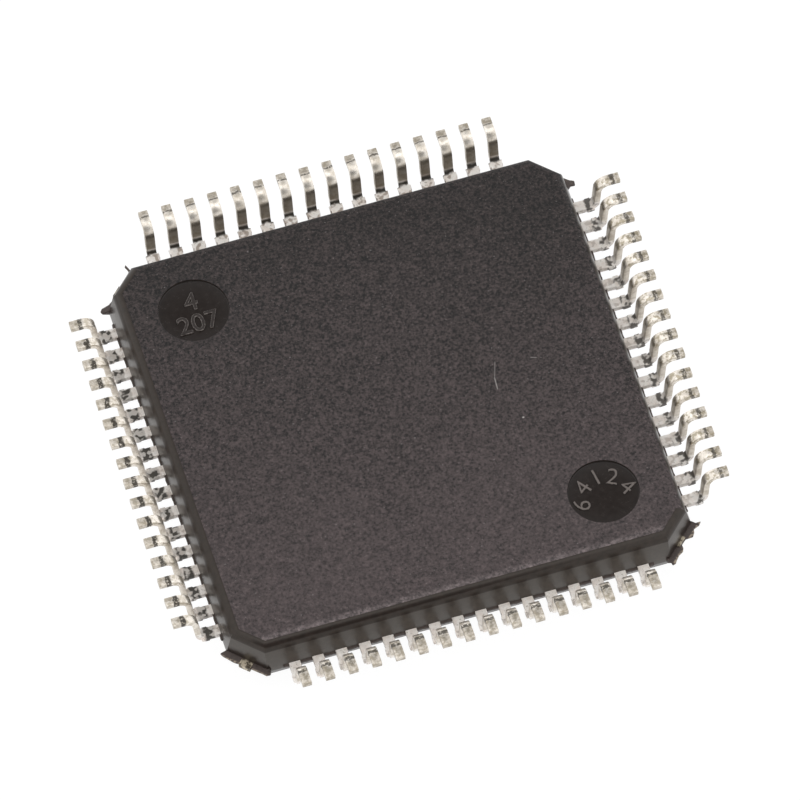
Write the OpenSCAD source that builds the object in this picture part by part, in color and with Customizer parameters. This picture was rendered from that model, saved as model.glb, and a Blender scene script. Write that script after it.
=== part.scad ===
/* [Moulding] */
// Width of the moulded body at its parting line, left to right
body_w = 10; // [9.6:0.1:12]
// How much shorter the body is from front to back
body_short = 0.06; // [0:0.01:0.1]
// Thickness of the moulded body
body_h = 1.4; // [1.2:0.05:2]
// Leg of each corner cut, at the parting line
corner_cut = 0.7; // [0.5:0.05:0.7]
// Draft angle of the side walls of the underside half, from the vertical
draft = 12; // [5:1:15]
// Draft angle of the corner cuts
corner_draft = 8; // [5:1:15]
// Radius of the edges round the underside, along the sides
edge_r = 0.19; // [0.05:0.01:0.25]
// Radius of the edges round the underside, along the corner cuts
corner_edge_r = 0.15; // [0.05:0.01:0.25]
// How much smaller the half with the marking is, over both sides
top_short = 0.15; // [0:0.01:0.16]
// Draft angle of the side walls of the half with the marking
top_draft = 16; // [5:1:18]
// Radius of the edges round the marking face
top_edge_r = 0.28; // [0.05:0.01:0.3]
// How far the flash between the leads stands out
flash_out = 0.04; // [0.02:0.01:0.08]
// How far the flash at the corners stands out
corner_flash_out = 0.17; // [0.1:0.01:0.25]

/* [Marks in the faces] */
// Diameter of the two ejector pin marks in the underside
eject_d = 1.5; // [1:0.1:2]
// Depth of the ejector pin marks
eject_depth = 0.06; // [0.02:0.01:0.12]
// Distance of the ejector pin marks from both their sides
eject_inset = 1.6; // [1.4:0.05:2]
// Diameter of the pin one mark in the marking face
pin_one_d = 0.8; // [0.5:0.1:1.2]
// Depth of the pin one mark
pin_one_depth = 0.08; // [0.04:0.01:0.12]
// Distance of the pin one mark from both its sides
pin_one_inset = 1.2; // [1:0.1:1.6]

/* [Leads] */
// Number of leads on each side
leads_per_side = 16; // [8:4:16]
// Lead pitch
pitch = 0.5; // [0.4:0.01:0.54]
// Thickness of the lead frame
lead_t = 0.127; // [0.1:0.001:0.15]
// Width of the neck and foot
lead_w = 0.2; // [0.16:0.01:0.24]
// Width of the shoulder, where the lead leaves the body
shoulder_w = 0.24; // [0.24:0.01:0.28]
// Width over the stubs that the cut dam bar leaves
stub_w = 0.28; // [0.28:0.01:0.32]
// Length of the stubs along the lead
stub_l = 0.16; // [0.08:0.01:0.18]
// How far before the shoulder bend the stubs begin
stub_back = 0.06; // [0:0.01:0.1]
// Length of the flat shoulder outside the body
shoulder_l = 0.3; // [0.25:0.01:0.36]
// How far the tips stand out from the body
lead_out = 0.98; // [0.96:0.02:1.4]
// Height of the feet over the underside
stand_off = 0.13; // [0.05:0.01:0.2]
// Lean of the neck from the vertical
neck_lean = 5; // [4:1:16]
// Inside radius of the bend at the shoulder
shoulder_bend = 0.1; // [0.08:0.01:0.14]
// Inside radius of the bend at the foot
foot_bend = 0.17; // [0.1:0.01:0.2]

/* [Die pad] */
// Side length of the die pad
pad_w = 5; // [4.4:0.1:5.4]
// Step that lifts the die pad out of the plane of the leads
pad_step = 0.15; // [0.05:0.01:0.2]
// Width of the tie bars
tie_w = 0.26; // [0.2:0.01:0.3]
// Length of the sloped part of each tie bar
tie_slope_l = 0.3; // [0.2:0.05:0.5]

/* [Lead fingers] */
// Length of the straight part of each finger inside the body
finger_root_l = 0.5; // [0.3:0.05:0.7]
// Gap between the die pad and the finger tips
finger_gap = 0.25; // [0.2:0.05:0.4]
// Width of the finger tips
finger_tip_w = 0.16; // [0.12:0.01:0.18]
// Distance from the corner of the die pad back to the outermost finger
finger_margin = 0.1; // [0.05:0.05:0.3]

/* [Die and wires] */
// Side length of the silicon die
die_w = 3.4; // [2.8:0.1:4]
// Thickness of the die
die_t = 0.28; // [0.2:0.01:0.3]
// Thickness of the die attach film
attach_t = 0.025; // [0.015:0.005:0.04]
// Distance of the bonds from the edge of the die
bond_inset = 0.1; // [0.08:0.01:0.2]
// Distance of the outermost bonds from the corner of the die
bond_margin = 0.25; // [0.2:0.05:0.4]
// Diameter of the ball bonds
ball_d = 0.07; // [0.05:0.01:0.09]
// Height of the ball bonds
ball_h = 0.02; // [0.015:0.005:0.03]
// Thickness of the bond wires
wire_d = 0.025; // [0.02:0.005:0.04]
// Height of the wire loops over the straight line between their ends
loop_h = 0.14; // [0.1:0.01:0.18]
// Length of the stitch bond on each finger
stitch_l = 0.1; // [0.06:0.01:0.12]

/* [Hidden] */
SIDES = ["front", "right", "back", "left"];
groups = 4;
group_n = leads_per_side / groups;
LEAD_NODES = [for (side = SIDES) for (g = [1:groups]) str("leads_", side, "_", g)];
WIRE_NODES = [for (side = SIDES) str("bond_wires_", side)];

half_w = body_w / 2;
half_l = (body_w - body_short) / 2;
frame_z = body_h / 2;
edge_steps = 6;
bend_steps = 9;
loop_steps = 8;
through = 0.1;

// The corner cuts: distance from the centre, and length along the cut
cut_half = (body_w - corner_cut) / sqrt(2);
cut_l = corner_cut * sqrt(2);

// How far the flash between the leads runs past the outermost ones
flash_overrun = 0.12;

function lerp(a, b, t) = a + (b - a) * t;

// Points along an arc, from angle a0 to angle a1
function arc(c, r, a0, a1, n) = [for (i = [0:n]) let (a = a0 + (a1 - a0) * i / n) c + r * [cos(a), sin(a)]];
function mirrored(points) = [for (i = [len(points) - 1:-1:0]) [-points[i][0], points[i][1]]];
function lowered(points) = [for (i = [len(points) - 1:-1:0]) [points[i][0], body_h - points[i][1]]];

// ---- Moulded body ----

// Right edge of the upper half, from the frame's face up the leaning wall and round to the face of the body
function upper_edge(half, lean, r) =
    let (
        wall_z = frame_z + lead_t / 2,
        round_z = body_h - r,
        round_x = half - (r + (round_z - wall_z) * sin(lean)) / cos(lean)
    )
    concat([[half, wall_z]], arc([round_x, round_z], r, lean, 90, edge_steps));

// Two opposite walls with their rounded edges, as a prism that runs past the body
module wall_pair(turn, half, lean, r, top_lean) {
    upper = upper_edge(half, lean, r);
    top = upper_edge(half - top_short / 2, top_lean, top_edge_r);
    ledge = [half, body_h - upper[0][1]];
    right = concat(lowered(top), [ledge], upper);
    rotate([0, 0, turn])
        rotate([90, 0, 0])
            linear_extrude(height = 2 * body_w, center = true)
                polygon(concat(right, mirrored(right)));
}

module moulding() {
    intersection() {
        wall_pair(0, half_w, draft, edge_r, top_draft);
        wall_pair(90, half_l, draft, edge_r, top_draft);
        wall_pair(45, cut_half, corner_draft, corner_edge_r, corner_draft);
        wall_pair(135, cut_half, corner_draft, corner_edge_r, corner_draft);
    }
}

// Flash is as thick as the lead frame and lies in its plane
module in_frame_plane() {
    translate([0, 0, frame_z - lead_t / 2])
        linear_extrude(height = lead_t)
            children();
}

module side_flash() {
    row_l = (leads_per_side - 1) * pitch + shoulder_w + 2 * flash_overrun;
    for (side = [0:3]) {
        wall_y = side % 2 == 0 ? half_l : half_w;
        rotate([0, 0, 90 * side])
            translate([-row_l / 2, -wall_y - flash_out, 0])
                square([row_l, 1]);
    }
}

// Outlines of the four corner flashes: along the cut in halves of its length, out in shares of their reach
CORNER_FLASH = [
    [[-1.08, 0], [-1.2, 0.75], [-1.06, 1], [-0.5, 1.12], [-0.2, 0.92], [0.36, 0.86], [0.5, 1.06],
        [1.06, 1.1], [1.16, 0.8], [1.1, 0]],
    [[-1.08, 0.1], [-1.12, 1.12], [-0.56, 1.16], [-0.26, 0.4], [0.08, 0.5], [0.3, 1.2], [0.56, 1.02],
        [0.94, 1.16], [1.22, 0.92], [1.08, 0]],
    [[-1.1, 0], [-1.16, 0.36], [-1.28, 0.76], [-1.14, 1.2], [-0.74, 1.04], [-0.3, 0.92], [0.7, 0.94],
        [1.1, 1.04], [1.22, 0.54], [1.06, 0]],
    [[-1.1, 0], [-1.2, 0.7], [-1.28, 1.34], [-1.12, 1.2], [-0.8, 0.8], [-0.2, 0.76], [0.3, 0.82], [0.8, 0.86],
        [1.12, 1], [1.26, 0.58], [1.06, 0]],
];

// How far out each tie bar is sheared off, in shares of the flash's reach
TIE_ENDS = [0.98, 0.34, 0.84, 0.66];

module corner_flash() {
    for (corner = [0:3])
        rotate([0, 0, 90 * corner - 45])
            translate([0, -cut_half])
                polygon(concat(
                    [for (p = CORNER_FLASH[corner]) [p[0] * cut_l / 2, -p[1] * corner_flash_out]],
                    [[cut_l / 2, corner_cut / 2], [-cut_l / 2, corner_cut / 2]]
                ));
}

module ejector_marks() {
    for (turn = [0, 180])
        rotate([0, 0, turn])
            translate([half_w - eject_inset, eject_inset - half_w, body_h - eject_depth])
                cylinder(d = eject_d, h = eject_depth + through, $fn = 96);
}

module pin_one_mark() {
    translate([pin_one_inset - half_w, pin_one_inset - half_w, -through])
        cylinder(d = pin_one_d, h = pin_one_depth + through, $fn = 96);
}

module mould_body() {
    color([0.24, 0.22, 0.22])
        difference() {
            union() {
                moulding();
                in_frame_plane() side_flash();
                in_frame_plane() corner_flash();
            }
            ejector_marks();
            pin_one_mark();
            die_pad();
            die_attach();
            silicon_die();
            for (side = [0:3]) {
                for (k = [0:leads_per_side - 1]) lead(side, k);
                for (k = [0:leads_per_side - 1]) bond_wire(side, k);
            }
        }
}

// ---- Lead frame ----

finger_tip_y = pad_w / 2 + finger_gap;
bend_y = half_w + shoulder_l;
shoulder_z = frame_z + lead_t / 2;

function lead_x(k) = (k - (leads_per_side - 1) / 2) * pitch;
function finger_x(k) = (k / (leads_per_side - 1) - 0.5) * (pad_w - 2 * finger_margin - finger_tip_w);

// Side view of the formed lead outside the body: shoulder, neck and foot
module gull_wing() {
    turn = 90 - neck_lean;
    foot_under = body_h + stand_off - lead_t;
    mid_radii = shoulder_bend + foot_bend + lead_t;
    rise = foot_under - shoulder_z + lead_t;
    neck_l = (rise - mid_radii * (1 - cos(turn))) / sin(turn);
    run = mid_radii * sin(turn) + neck_l * cos(turn);
    shoulder_c = [bend_y, shoulder_z + shoulder_bend];
    foot_c = [bend_y + run, foot_under - foot_bend];
    start = bend_y - lead_t;
    tip = half_w + lead_out;
    polygon(concat(
        [[start, shoulder_z]],
        arc(shoulder_c, shoulder_bend, -90, turn - 90, bend_steps),
        arc(foot_c, foot_bend + lead_t, 90 + turn, 90, bend_steps),
        [[tip, foot_under + lead_t], [tip, foot_under]],
        arc(foot_c, foot_bend, 90, 90 + turn, bend_steps),
        arc(shoulder_c, shoulder_bend + lead_t, turn - 90, -90, bend_steps),
        [[start, shoulder_z - lead_t]]
    ));
}

// Side view of what the cut dam bar leaves on both sides of the lead
module stub_side() {
    intersection() {
        gull_wing();
        translate([bend_y - stub_back, shoulder_z - lead_t]) square([stub_l, lead_t + shoulder_bend / 2]);
    }
}

// Flat part of a lead, from the finger tip to the bend
module flat_lead(k) {
    root_y = half_w - finger_root_l;
    polygon([
        [finger_x(k) + finger_tip_w / 2, -finger_tip_y],
        [finger_x(k) - finger_tip_w / 2, -finger_tip_y],
        [lead_x(k) - shoulder_w / 2, -root_y],
        [lead_x(k) - shoulder_w / 2, -bend_y],
        [lead_x(k) + shoulder_w / 2, -bend_y],
        [lead_x(k) + shoulder_w / 2, -root_y],
    ]);
}

// Gives a side view of the lead its width
module across_lead(k, width) {
    translate([lead_x(k) + width / 2, 0, 0])
        rotate([90, 0, -90])
            linear_extrude(height = width)
                children();
}

module lead(side, k) {
    rotate([0, 0, 90 * side]) {
        in_frame_plane() flat_lead(k);
        across_lead(k, lead_w) gull_wing();
        across_lead(k, stub_w) stub_side();
    }
}

module lead_group(side, g) {
    color([0.8, 0.79, 0.77])
        for (k = [(g - 1) * group_n:g * group_n - 1]) lead(side, k);
}

pad_z = frame_z - lead_t / 2 + pad_step;

// Side view of a tie bar, from the middle of the pad out along the diagonal to its sheared end
module tie_bar_side(end) {
    low = frame_z - lead_t / 2;
    pad_corner = pad_w / sqrt(2);
    polygon([
        [0, pad_z],
        [pad_corner, pad_z],
        [pad_corner + tie_slope_l, low],
        [end, low],
        [end, low + lead_t],
        [pad_corner + tie_slope_l, low + lead_t],
        [pad_corner, pad_z + lead_t],
        [0, pad_z + lead_t],
    ]);
}

module die_pad() {
    color([0.72, 0.45, 0.3]) {
        translate([-pad_w / 2, -pad_w / 2, pad_z]) cube([pad_w, pad_w, lead_t]);
        for (corner = [0:3])
            rotate([0, 0, 90 * corner - 45])
                translate([tie_w / 2, 0, 0])
                    rotate([90, 0, -90])
                        linear_extrude(height = tie_w)
                            tie_bar_side(cut_half + TIE_ENDS[corner] * corner_flash_out);
    }
}

// ---- Die and its bonds, on the side of the pad that faces the marking ----

module die_attach() {
    color([0.75, 0.75, 0.78])
        translate([-die_w / 2, -die_w / 2, pad_z - attach_t]) cube([die_w, die_w, attach_t]);
}

die_face_z = pad_z - attach_t - die_t;

module silicon_die() {
    color([0.3, 0.32, 0.38])
        translate([-die_w / 2, -die_w / 2, die_face_z]) cube([die_w, die_w, die_t]);
}

function bond_x(k) = (k / (leads_per_side - 1) - 0.5) * (die_w - 2 * bond_margin);

// One gold wire from its ball bond on the die to its stitch bond on a finger
module bond_wire(side, k) {
    from = [bond_x(k), bond_inset - die_w / 2];
    stitch_y = finger_tip_y + stitch_l / 2;
    stitch_share = (stitch_y - finger_tip_y) / (half_w - finger_root_l - finger_tip_y);
    to = [lerp(finger_x(k), lead_x(k), stitch_share), -stitch_y];
    span = norm(to - from);
    frame_face_z = frame_z - lead_t / 2;
    top = [for (i = [0:loop_steps]) let (t = i / loop_steps)
        [t * span, lerp(die_face_z, frame_face_z, t) - 4 * loop_h * t * (1 - t)]];
    bottom = [for (i = [loop_steps:-1:0]) top[i] - [0, wire_d]];
    rotate([0, 0, 90 * side]) {
        translate([from[0], from[1], die_face_z - ball_h]) cylinder(d = ball_d, h = ball_h, $fn = 24);
        translate([from[0], from[1], 0])
            rotate([0, 0, atan2(to[1] - from[1], to[0] - from[0])]) {
                translate([0, wire_d / 2, 0])
                    rotate([90, 0, 0])
                        linear_extrude(height = wire_d)
                            polygon(concat(top, bottom));
                translate([span - stitch_l / 2, -wire_d, frame_face_z - wire_d])
                    cube([stitch_l / 2, 2 * wire_d, wire_d]);
            }
    }
}

module bond_wires(side) {
    color([0.9, 0.72, 0.3])
        for (k = [0:leads_per_side - 1]) bond_wire(side, k);
}

mould_body();
die_pad();
die_attach();
silicon_die();
for (side = [0:3])
    bond_wires(side);
for (side = [0:3])
    for (g = [1:groups])
        lead_group(side, g);
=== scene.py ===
"""Looks of a quad flat pack chip that lies on its marking face, with its solder feet up."""

import math

import bmesh
import bpy
from bpy.props import FloatProperty, FloatVectorProperty, IntProperty, PointerProperty
from mathutils import Matrix, Vector


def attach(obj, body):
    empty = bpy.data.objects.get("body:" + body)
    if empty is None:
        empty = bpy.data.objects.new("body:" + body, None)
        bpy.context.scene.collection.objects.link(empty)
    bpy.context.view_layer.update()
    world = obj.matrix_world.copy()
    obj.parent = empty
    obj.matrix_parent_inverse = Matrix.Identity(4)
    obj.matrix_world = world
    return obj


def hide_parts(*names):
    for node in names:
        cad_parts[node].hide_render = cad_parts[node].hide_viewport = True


bl_info = {
    "name": "Quad flat pack chip",
    "version": (1, 0, 0),
    "blender": (4, 5, 0),
    "location": "View3D > Sidebar > Chip",
    "description": "Builds the moulding, the formed leads and the studio round the packed part",
    "category": "Add Mesh",
}

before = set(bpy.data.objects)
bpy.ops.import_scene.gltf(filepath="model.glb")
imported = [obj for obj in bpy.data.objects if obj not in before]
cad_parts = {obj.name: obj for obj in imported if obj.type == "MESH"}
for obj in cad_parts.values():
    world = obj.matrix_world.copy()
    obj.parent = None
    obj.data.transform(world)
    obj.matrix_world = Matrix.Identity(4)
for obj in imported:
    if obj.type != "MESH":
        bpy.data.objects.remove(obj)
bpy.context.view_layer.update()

MM = 0.001
SIDES = ("front", "right", "back", "left")

# Outlines of the four corner flashes: along the cut in halves of its length, out in shares of their reach
CORNER_FLASH = (
    ((-1.06, 0), (-1.22, 0.58), (-1.06, 0.74), (-0.5, 0.9), (-0.1, 0.72), (0.4, 0.74), (0.84, 0.7),
     (1, 0.74), (1.14, 0.36), (1.08, 0)),
    ((-1.08, 0), (-1.05, 0.42), (-1.13, 0.74), (-1, 0.96), (-0.83, 0.86), (-0.58, 0.8), (-0.35, 0.96),
     (-0.19, 0.78), (-0.07, 0.36), (0.24, 0.46), (0.38, 0.84), (0.48, 1.08), (0.69, 0.94), (0.81, 0.68),
     (1.09, 0.99), (1.29, 0.92), (1.12, 0.45), (1.08, 0)),
    ((-1.08, 0), (-1.11, 0.36), (-1.26, 0.74), (-1.12, 1.26), (-0.93, 1.06), (-0.3, 0.92), (0.7, 0.94),
     (1.1, 1.04), (1.22, 0.54), (1.06, 0)),
    ((-1.06, 0), (-1.2, 0.4), (-1.28, 0.9), (-1.38, 1.55), (-1.26, 1.45), (-1.16, 0.8), (-1, 0.42),
     (-0.4, 0.36), (0.3, 0.42), (0.7, 0.6), (1, 1.08), (1.17, 1), (1.2, 0.6), (1.04, 0)),
)

# Raised numbers on the two ejector pin marks: mark, text, place from its centre in mm, height in mm, turn
MARK_NUMBERS = (
    (1, "4", (0, 0.22), 0.46, 0),
    (1, "2", (-0.29, -0.31), 0.46, 0),
    (1, "0", (0.01, -0.31), 0.46, 0),
    (1, "7", (0.31, -0.31), 0.46, 0),
    (0, "6", (-0.5, -0.16), 0.42, 62),
    (0, "4", (-0.36, 0.22), 0.42, 38),
    (0, "1", (-0.04, 0.38), 0.42, 8),
    (0, "2", (0.28, 0.29), 0.42, -26),
    (0, "4", (0.5, -0.02), 0.42, -58),
)

# The look of the numbers on each mark: material, colour of their tops, how much their strokes are thinned in mm,
# and the rounding of their edges in mm
NUMBER_STYLES = (
    ("black_epoxy_frosted", "#6a625e", 0.012, 0.008),
    ("black_epoxy_rimmed", "#28211e", 0.01, 0.018),
)


def linear(code):
    """A colour written as sRGB hex, as the linear colour that a shader takes."""
    parts = [int(code[i:i + 2], 16) / 255 for i in (1, 3, 5)]
    return tuple(c / 12.92 if c <= 0.04045 else ((c + 0.055) / 1.055) ** 2.4 for c in parts) + (1.0,)


# ---- Modelling by hand ----


def only(obj=None):
    """Leaves edit mode and selects nothing, or one object."""
    if bpy.context.mode != "OBJECT":
        bpy.ops.object.mode_set(mode="OBJECT")
    bpy.ops.object.select_all(action="DESELECT")
    if obj:
        obj.select_set(True)
        bpy.context.view_layer.objects.active = obj
    return obj


def start_edit(obj):
    """Selects one object and enters edit mode."""
    only(obj)
    bpy.ops.object.mode_set(mode="EDIT")


def added(name, scale=(1, 1, 1)):
    """Names the primitive that was just added, stretches it, and puts its place into its mesh."""
    obj = bpy.context.object
    obj.name = name
    obj.data.name = name
    only(obj)
    obj.scale = scale
    bpy.ops.object.transform_apply(location=True, rotation=True, scale=True)
    return obj


def pick(kind, test):
    """In edit mode, selects just the verts, edges or faces that pass the test."""
    mesh = bpy.context.edit_object.data
    bm = bmesh.from_edit_mesh(mesh)
    for group in (bm.verts, bm.edges, bm.faces):
        for item in group:
            item.select = False
    bm.select_mode = {kind.upper()}
    bpy.context.tool_settings.mesh_select_mode = (kind == "vert", kind == "edge", kind == "face")
    found = 0
    for item in getattr(bm, kind + "s"):
        if test(item):
            item.select = True
            found += 1
    bm.select_flush_mode()
    bmesh.update_edit_mesh(mesh)
    if not found:
        raise RuntimeError(f"no {kind} of {bpy.context.edit_object.name} passes the test")


def middle(item):
    """The centre of an edge or face, in mm."""
    points = [v.co for v in item.verts]
    return sum(points, Vector()) / len(points) / MM


def extrude(x=0.0, y=0.0, z=0.0):
    """Extrudes the selected faces by a distance in mm."""
    bpy.ops.mesh.extrude_region_move(TRANSFORM_OT_translate={"value": (x * MM, y * MM, z * MM)})


def resize(x=1.0, y=1.0, z=1.0, about=(0, 0, 0)):
    """Scales what is selected about a point in mm."""
    bpy.ops.transform.resize(value=(x, y, z), center_override=[c * MM for c in about])


def apply_modifier(obj, kind, **settings):
    """Adds a modifier with its settings and applies it."""
    only(obj)
    modifier = obj.modifiers.new(kind.lower(), kind)
    for name, value in settings.items():
        setattr(modifier, name, value)
    bpy.ops.object.modifier_apply(modifier=modifier.name)


def smooth(obj, degrees):
    """Shades an object smooth, but for edges sharper than an angle."""
    only(obj)
    bpy.ops.object.shade_smooth_by_angle(angle=math.radians(degrees))


def place(obj, x=0.0, y=0.0, turn=0.0):
    """Moves an object by mm, turns it about the upright axis, and applies both."""
    only(obj)
    bpy.context.scene.cursor.location = (0, 0, 0)
    obj.location = (x * MM, y * MM, 0)
    bpy.ops.object.transform_apply(location=True, rotation=False, scale=False)
    obj.rotation_euler = (0, 0, math.radians(turn))
    bpy.ops.object.transform_apply(location=False, rotation=True, scale=False)


def finish_piece(obj, material, slot, *nodes):
    """Gives a piece its finish, and ties it to the frame."""
    obj.data.materials.clear()
    obj.data.materials.append(material)
    tie_piece(obj, slot, *nodes)


def tie_piece(obj, slot, *nodes):
    """Rides a piece on the one body and hides the nodes that it stands for; the slot is not used."""
    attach(obj, "root")
    if nodes:
        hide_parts(*nodes)


# ---- Materials ----

SOFT = {"interpolation_type": "SMOOTHSTEP"}
OF_COLOURS = {"data_type": "RGBA"}


def add_node(tree, kind, inputs=(), **settings):
    """Adds a node with its settings and links.

    Its inputs come in order, or by name or number. Each is a value, an output, or a node, whose first output in
    use then feeds it.
    """
    node = tree.nodes.new("ShaderNode" + kind)
    for name, value in settings.items():
        setattr(node, name, value)
    for name, value in inputs.items() if isinstance(inputs, dict) else enumerate(inputs):
        if isinstance(value, bpy.types.Node):
            value = next(out for out in value.outputs if out.enabled)
        if isinstance(value, bpy.types.NodeSocket):
            tree.links.new(value, node.inputs[name])
        else:
            node.inputs[name].default_value = value
    return node


def new_material(name):
    """An empty material with its node tree and its Object coordinates."""
    material = bpy.data.materials.new(name)
    material.use_nodes = True
    tree = material.node_tree
    tree.nodes.clear()
    return material, tree, add_node(tree, "TexCoord").outputs["Object"]


def grains(size_mm):
    """The scale of a noise whose grains are about size_mm across."""
    return 1 / (size_mm * MM)


def where_all(tree, *shares):
    """How strongly a mark shows where each of these shares holds."""
    total, *others = shares
    for share in others:
        total = add_node(tree, "Math", (total, share), operation="MULTIPLY")
    return total


def eroded_material():
    """Black epoxy moulding compound, moulded against a spark-eroded tool: a dull face with an even grain."""
    colours = bpy.context.scene.chip_colours
    material, tree, coords = new_material("black_epoxy_eroded")
    axes = add_node(tree, "SeparateXYZ", (coords,)).outputs
    # The grain is drawn coarser than the real 0.03 mm, so that it shows
    grain = add_node(tree, "TexNoise", {
        "Vector": coords, "Scale": grains(0.055), "Detail": 2.0, "Roughness": 0.6})
    pits = add_node(tree, "TexNoise", {"Vector": coords, "Scale": grains(0.2), "Detail": 2.0, "Roughness": 0.5})
    cloud = add_node(tree, "TexNoise", {"Vector": coords, "Scale": grains(2.5), "Detail": 3.0, "Roughness": 0.6})
    # Painted light: the face is painted lighter towards the front and a little towards the left, as a near lamp
    # would light it, and its grain is evened out there
    slant = add_node(tree, "Math", (axes["X"], 0.2, axes["Y"]), operation="MULTIPLY_ADD")
    painted_front_light = add_node(tree, "MapRange", (slant, 4.6 * MM, -4.6 * MM))
    cloudy = add_node(tree, "MapRange", (cloud, 0.3, 0.7, -0.08, 0.08), **SOFT)
    painted_front_light = add_node(tree, "Math", (painted_front_light, cloudy), operation="ADD")
    level = add_node(tree, "Mix", {0: painted_front_light, 6: colours.face, 7: colours.painted_front_light}, **OF_COLOURS)
    depth = add_node(tree, "MapRange", {"Value": painted_front_light, "To Min": 7.0, "To Max": 2.9})
    # The rim along the front is painted lighter in spots: partly rubbed wear, partly a painted highlight where the
    # edge tips up towards the light
    rim_wear_and_highlight = add_node(tree, "MapRange", (axes["Y"], -4.5 * MM, -4.64 * MM), **SOFT)
    spots = add_node(tree, "MapRange", (pits, 0.3, 0.7, 0.2, 0.55), **SOFT)
    level = add_node(tree, "Mix", {
        0: where_all(tree, rim_wear_and_highlight, spots), 6: level, 7: linear("#7c7272")}, **OF_COLOURS)
    swing = add_node(tree, "Math", (grain, 0.5), operation="SUBTRACT")
    gain = add_node(tree, "Math", (swing, depth, 1.0), operation="MULTIPLY_ADD")
    gain = add_node(tree, "Math", (gain, 0.1), operation="MAXIMUM")
    gain = where_all(tree, gain, add_node(tree, "MapRange", (pits, 0.25, 0.75, 0.85, 1.15), **SOFT))
    tone = add_node(tree, "VectorMath", {0: level, "Scale": gain}, operation="SCALE")
    # Painted glints: grains that stand proud are painted lighter, as if they caught the light
    proud = add_node(tree, "TexNoise", {"Vector": coords, "Scale": grains(0.05), "Detail": 1.0, "Roughness": 0.5})
    glints = add_node(tree, "MapRange", (proud, 0.7, 0.76, 0.0, 0.5), **SOFT)
    tone = add_node(tree, "Mix", {0: glints, 6: tone, 7: linear("#868080")}, **OF_COLOURS)
    tone = add_node(tree, "Mix", {0: lint(tree, coords), 6: tone, 7: linear("#b5b0ad")}, **OF_COLOURS)
    height = add_node(tree, "Math", (pits, 0.8, grain), operation="MULTIPLY_ADD")
    normal = add_node(tree, "Bump", {"Height": height, "Distance": 0.02 * MM, "Strength": 0.8})
    shader = add_node(tree, "BsdfPrincipled", {
        "Base Color": tone, "Roughness": 0.58, "IOR": 1.55, "Specular IOR Level": 0.3, "Normal": normal})
    add_node(tree, "OutputMaterial", {"Surface": shader})
    return material


# Dust on the face, as line ends in mm with a width and a strength: a speck, a short scratch and a fibre
LINT = (
    ((2.35, -1.19), (2.36, -1.19), 0.022, 1.0),
    ((2.19, 0.27), (2.07, -0.1), 0.014, 0.25),
    ((2.07, -0.1), (2.05, -0.37), 0.016, 0.5),
    ((2.93, 0.15), (3.04, 0.11), 0.012, 0.4),
)


def lint(tree, coords):
    """How much of the surface the specks and fibres of LINT cover."""
    flat = add_node(tree, "VectorMath", (coords, (1, 1, 0)), operation="MULTIPLY")
    covered = 0.0
    for start, end, width, strength in LINT:
        a, b = (Vector(p).to_3d() * MM for p in (start, end))
        from_a = add_node(tree, "VectorMath", (flat, a), operation="SUBTRACT")
        run = add_node(tree, "VectorMath", (from_a, (b - a) / (b - a).length_squared), operation="DOT_PRODUCT")
        run = add_node(tree, "Clamp", (run,))
        nearest = add_node(tree, "VectorMath", {0: b - a, "Scale": run}, operation="SCALE")
        gap = add_node(tree, "VectorMath", (from_a, nearest), operation="DISTANCE")
        line = add_node(tree, "MapRange", (gap, width * MM, 0.4 * width * MM, 0, strength), **SOFT)
        covered = add_node(tree, "Math", (covered, line), operation="MAXIMUM")
    return covered


def moulded_material(name, gloss):
    """The same compound on the walls and round edges, moulded against a ground tool: satin, with a brown cast."""
    colours = bpy.context.scene.chip_colours
    material, tree, coords = new_material(name)
    grain = add_node(tree, "TexNoise", {"Vector": coords, "Scale": grains(0.1), "Detail": 3.0, "Roughness": 0.6})
    share = add_node(tree, "MapRange", (grain, 0.3, 0.7), **SOFT)
    tone = add_node(tree, "Mix", {0: share, 6: colours.wall_dark, 7: colours.wall_light}, **OF_COLOURS)
    normal = add_node(tree, "Bump", {"Height": grain, "Distance": 0.006 * MM, "Strength": 0.4})
    shader = add_node(tree, "BsdfPrincipled", {
        "Base Color": tone, "Roughness": 0.3, "IOR": 1.55, "Specular IOR Level": gloss,
        "Specular Tint": (1.0, 0.94, 0.86, 1.0), "Normal": normal})
    add_node(tree, "OutputMaterial", {"Surface": shader})
    return material


def pin_mark_material():
    """The same compound where the smooth face of an ejector pin pressed on it."""
    colours = bpy.context.scene.chip_colours
    material, tree, coords = new_material("black_epoxy_smooth")
    grain = add_node(tree, "TexNoise", {"Vector": coords, "Scale": grains(0.12), "Detail": 3.0, "Roughness": 0.5})
    tone = add_node(tree, "Mix", {0: grain, 6: colours.mark_dark, 7: colours.mark_light}, **OF_COLOURS)
    rough = add_node(tree, "MapRange", (grain, 0.3, 0.7, 0.2, 0.28), **SOFT)
    normal = add_node(tree, "Bump", {"Height": grain, "Distance": 0.004 * MM, "Strength": 0.3})
    shader = add_node(tree, "BsdfPrincipled", {
        "Base Color": tone, "Roughness": rough, "IOR": 1.55, "Specular IOR Level": 0.25, "Normal": normal})
    add_node(tree, "OutputMaterial", {"Surface": shader})
    return material


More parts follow.
